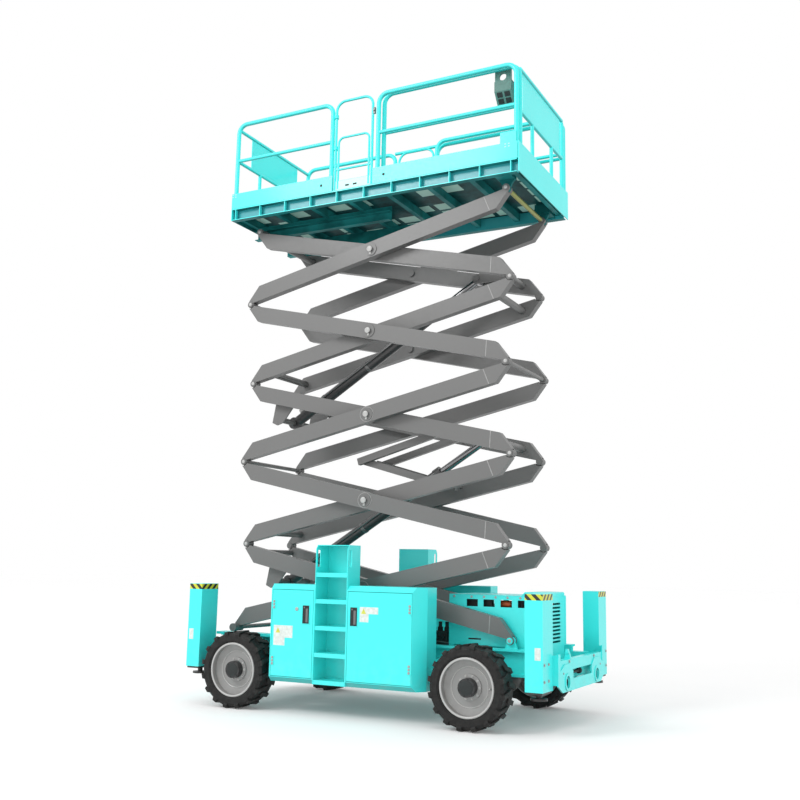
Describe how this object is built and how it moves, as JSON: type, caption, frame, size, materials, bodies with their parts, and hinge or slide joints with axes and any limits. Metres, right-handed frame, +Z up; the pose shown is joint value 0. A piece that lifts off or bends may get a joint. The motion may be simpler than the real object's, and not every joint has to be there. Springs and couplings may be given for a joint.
{
  "type": "scissor lift",
  "caption": "Self-propelled rough-terrain scissor lift, partly raised: wheeled chassis with stabilizers and side cabinets, crossed-arm stack and a railed platform with extension deck and gate.",
  "frame": {"origin": "on the ground under the middle of the whole length and width", "axes": "+X towards the steered end, +Z up, -Y towards the side with the entry gate"},
  "size_m": [4.423, 2.3, 7.1479],
  "materials": {
    "cyan_paint": "gloss enamel",
    "arm_paint": "satin enamel",
    "black_paint": "satin enamel",
    "rim_paint": "satin enamel",
    "tyre_rubber": "moulded",
    "cast": "as cast",
    "rod_chrome": "hard chromed",
    "box_plastic": "textured"
  },
  "bodies": {
    "base": {"chassis": "cyan_paint", "axles": "black_paint", "cabinets": "cyan_paint", "engine_pod": "cyan_paint", "engine": "cast"},
    "lid": {"pod_lid": "cyan_paint"},
    "platform": {"platform_frame": "cyan_paint", "platform_rails": "cyan_paint"},
    "extension": {"extension_deck": "cyan_paint", "control_box": "box_plastic"},
    "gate": {"gate": "cyan_paint"},
    "inner_1": {"inner_arms_1": "arm_paint"},
    "outer_1": {"outer_arms_1": "arm_paint"},
    "inner_2": {"inner_arms_2": "arm_paint"},
    "outer_2": {"outer_arms_2": "arm_paint"},
    "inner_3": {"inner_arms_3": "arm_paint"},
    "outer_3": {"outer_arms_3": "arm_paint"},
    "inner_4": {"inner_arms_4": "arm_paint"},
    "outer_4": {"outer_arms_4": "arm_paint"},
    "inner_5": {"inner_arms_5": "arm_paint"},
    "outer_5": {"outer_arms_5": "arm_paint"},
    "hose_upper": {"hose_link_upper": "arm_paint"},
    "hose_lower": {"hose_link_lower": "arm_paint"},
    "barrel_1": {"cylinder_barrel_1": "black_paint"},
    "rod_1": {"cylinder_rod_1": "rod_chrome"},
    "barrel_2": {"cylinder_barrel_2": "black_paint"},
    "rod_2": {"cylinder_rod_2": "rod_chrome"},
    "knuckle_near": {"knuckle_near": "black_paint"},
    "wheel_front_near": {"tyre_front_near": "tyre_rubber", "rim_front_near": "rim_paint"},
    "door_front_near": {"door_front_near": "cyan_paint"},
    "leg_front_near": {"stabilizer_front_near": "black_paint"},
    "wheel_rear_near": {"tyre_rear_near": "tyre_rubber", "rim_rear_near": "rim_paint"},
    "door_rear_near": {"door_rear_near": "cyan_paint"},
    "leg_rear_near": {"stabilizer_rear_near": "black_paint"},
    "knuckle_far": {"knuckle_far": "black_paint"},
    "wheel_front_far": {"tyre_front_far": "tyre_rubber", "rim_front_far": "rim_paint"},
    "door_front_far": {"door_front_far": "cyan_paint"},
    "leg_front_far": {"stabilizer_front_far": "black_paint"},
    "wheel_rear_far": {"tyre_rear_far": "tyre_rubber", "rim_rear_far": "rim_paint"},
    "door_rear_far": {"door_rear_far": "cyan_paint"},
    "leg_rear_far": {"stabilizer_rear_far": "black_paint"}
  },
  "joints": [
    {"name": "lift", "type": "hinge", "parent": "base", "child": "inner_1", "pos_m": [1.5865, 0, 0.848], "axis": [0, 1, 0], "range_deg": [-12.79, 41.62]},
    {"name": "cross_1", "type": "hinge", "parent": "inner_1", "child": "outer_1", "pos_m": [-0.1071, 0, 1.33779], "axis": [0, 1, 0], "range_deg": [-83.29, 25.62]},
    {"name": "link_2", "type": "hinge", "parent": "outer_1", "child": "outer_2", "pos_m": [1.5865, 0, 1.82759], "axis": [0, 1, 0], "range_deg": [-25.62, 83.29]},
    {"name": "link_3", "type": "hinge", "parent": "outer_2", "child": "outer_3", "pos_m": [-1.80069, 0, 2.80717], "axis": [0, 1, 0], "range_deg": [-83.29, 25.62]},
    {"name": "link_4", "type": "hinge", "parent": "outer_3", "child": "outer_4", "pos_m": [1.5865, 0, 3.78675], "axis": [0, 1, 0], "range_deg": [-25.62, 83.29]},
    {"name": "link_5", "type": "hinge", "parent": "outer_4", "child": "outer_5", "pos_m": [-1.80069, 0, 4.76634], "axis": [0, 1, 0], "range_deg": [-83.29, 25.62]},
    {"name": "cross_2", "type": "hinge", "parent": "outer_2", "child": "inner_2", "pos_m": [-0.1071, 0, 2.31738], "axis": [0, 1, 0], "range_deg": [-83.29, 25.62]},
    {"name": "cross_3", "type": "hinge", "parent": "outer_3", "child": "inner_3", "pos_m": [-0.1071, 0, 3.29696], "axis": [0, 1, 0], "range_deg": [-25.62, 83.29]},
    {"name": "cross_4", "type": "hinge", "parent": "outer_4", "child": "inner_4", "pos_m": [-0.1071, 0, 4.27655], "axis": [0, 1, 0], "range_deg": [-83.29, 25.62]},
    {"name": "cross_5", "type": "hinge", "parent": "outer_5", "child": "inner_5", "pos_m": [-0.1071, 0, 5.25613], "axis": [0, 1, 0], "range_deg": [-25.62, 83.29]},
    {"name": "platform_level", "type": "hinge", "parent": "outer_5", "child": "platform", "pos_m": [1.5865, 0, 5.74593], "axis": [0, 1, 0], "range_deg": [-12.84, 41.67]},
    {"name": "cylinder_turn_1", "type": "hinge", "parent": "inner_1", "child": "barrel_1", "pos_m": [-1.49624, 0, 1.38465], "axis": [0, 1, 0], "range_deg": [-79.13, 24.35]},
    {"name": "cylinder_stroke_1", "type": "slide", "parent": "barrel_1", "child": "rod_1", "axis": [0.8451, 0, 0.5345], "range_m": [-0.4037, 1.3095]},
    {"name": "cylinder_turn_2", "type": "hinge", "parent": "inner_3", "child": "barrel_2", "pos_m": [-1.49624, 0, 3.34382], "axis": [0, 1, 0], "range_deg": [-81.63, 25.11]},
    {"name": "cylinder_stroke_2", "type": "slide", "parent": "barrel_2", "child": "rod_2", "axis": [0.8451, 0, 0.5346], "range_m": [-0.4216, 1.3676]},
    {"name": "hose_turn_upper", "type": "hinge", "parent": "inner_3", "child": "hose_upper", "pos_m": [0.60857, 0, 3.08999], "axis": [0, 1, 0], "range_deg": [-83.29, 25.62]},
    {"name": "hose_turn_lower", "type": "hinge", "parent": "inner_2", "child": "hose_lower", "pos_m": [0.60857, 0, 2.52435], "axis": [0, 1, 0], "range_deg": [-25.62, 83.29]},
    {"name": "steer_near", "type": "hinge", "parent": "base", "child": "knuckle_near", "pos_m": [1.3635, -0.905, 0.419], "axis": [0, 0, 1], "range_deg": [-30, 30]},
    {"name": "steer_far", "type": "hinge", "parent": "base", "child": "knuckle_far", "pos_m": [1.3635, 0.905, 0.419], "axis": [0, 0, 1], "range_deg": [-30, 30]},
    {"name": "spin_front_near", "type": "hinge", "parent": "knuckle_near", "child": "wheel_front_near", "pos_m": [1.3635, -1, 0.419], "axis": [0, 1, 0], "continuous": true},
    {"name": "spin_front_far", "type": "hinge", "parent": "knuckle_far", "child": "wheel_front_far", "pos_m": [1.3635, 1, 0.419], "axis": [0, 1, 0], "continuous": true},
    {"name": "spin_rear_near", "type": "hinge", "parent": "base", "child": "wheel_rear_near", "pos_m": [-1.4765, -1, 0.419], "axis": [0, 1, 0], "continuous": true},
    {"name": "spin_rear_far", "type": "hinge", "parent": "base", "child": "wheel_rear_far", "pos_m": [-1.4765, 1, 0.419], "axis": [0, 1, 0], "continuous": true},
    {"name": "door_rear_near_swing", "type": "hinge", "parent": "base", "child": "door_rear_near", "pos_m": [-0.972, -1.1255, 0.85], "axis": [0, 0, -1], "range_deg": [0, 105]},
    {"name": "door_rear_far_swing", "type": "hinge", "parent": "base", "child": "door_rear_far", "pos_m": [-0.972, 1.1255, 0.85], "axis": [0, 0, 1], "range_deg": [0, 105]},
    {"name": "door_front_near_swing", "type": "hinge", "parent": "base", "child": "door_front_near", "pos_m": [0.753, -1.1255, 0.85], "axis": [0, 0, 1], "range_deg": [0, 105]},
    {"name": "door_front_far_swing", "type": "hinge", "parent": "base", "child": "door_front_far", "pos_m": [0.753, 1.1255, 0.85], "axis": [0, 0, -1], "range_deg": [0, 105]},
    {"name": "lid_lift", "type": "hinge", "parent": "base", "child": "lid", "pos_m": [1.3685, 0.372, 1.3055], "axis": [-1, 0, 0], "range_deg": [0, 80]},
    {"name": "gate_swing", "type": "hinge", "parent": "platform", "child": "gate", "pos_m": [-0.5235, -0.8115, 6.6], "axis": [0, 0, 1], "range_deg": [0, 90]},
    {"name": "deck_extend", "type": "slide", "parent": "platform", "child": "extension", "axis": [1, 0, 0], "range_m": [0, 1.2]},
    {"name": "stabilizer_front_near_drop", "type": "slide", "parent": "base", "child": "leg_front_near", "axis": [0, 0, -1], "range_m": [0, 0.55]},
    {"name": "stabilizer_front_far_drop", "type": "slide", "parent": "base", "child": "leg_front_far", "axis": [0, 0, -1], "range_m": [0, 0.55]},
    {"name": "stabilizer_rear_near_drop", "type": "slide", "parent": "base", "child": "leg_rear_near", "axis": [0, 0, -1], "range_m": [0, 0.55]},
    {"name": "stabilizer_rear_far_drop", "type": "slide", "parent": "base", "child": "leg_rear_far", "axis": [0, 0, -1], "range_m": [0, 0.55]}
  ],
  "couplings": [
    {"joint": "cross_1", "follows": "lift", "ratio": -2},
    {"joint": "link_2", "follows": "lift", "ratio": 2},
    {"joint": "link_3", "follows": "lift", "ratio": -2},
    {"joint": "link_4", "follows": "lift", "ratio": 2},
    {"joint": "link_5", "follows": "lift", "ratio": -2},
    {"joint": "cross_2", "follows": "lift", "ratio": -2},
    {"joint": "cross_3", "follows": "lift", "ratio": 2},
    {"joint": "cross_4", "follows": "lift", "ratio": -2},
    {"joint": "cross_5", "follows": "lift", "ratio": 2},
    {"joint": "platform_level", "follows": "lift", "ratio": 1},
    {"joint": "cylinder_turn_1", "follows": "lift", "ratio": -1.9},
    {"joint": "cylinder_stroke_1", "follows": "lift", "m_per_rad": 1.8},
    {"joint": "cylinder_turn_2", "follows": "lift", "ratio": -1.96},
    {"joint": "cylinder_stroke_2", "follows": "lift", "m_per_rad": 1.88},
    {"joint": "hose_turn_upper", "follows": "lift", "ratio": -2},
    {"joint": "hose_turn_lower", "follows": "lift", "ratio": 2},
    {"joint": "steer_far", "follows": "steer_near", "ratio": 1}
  ]
}
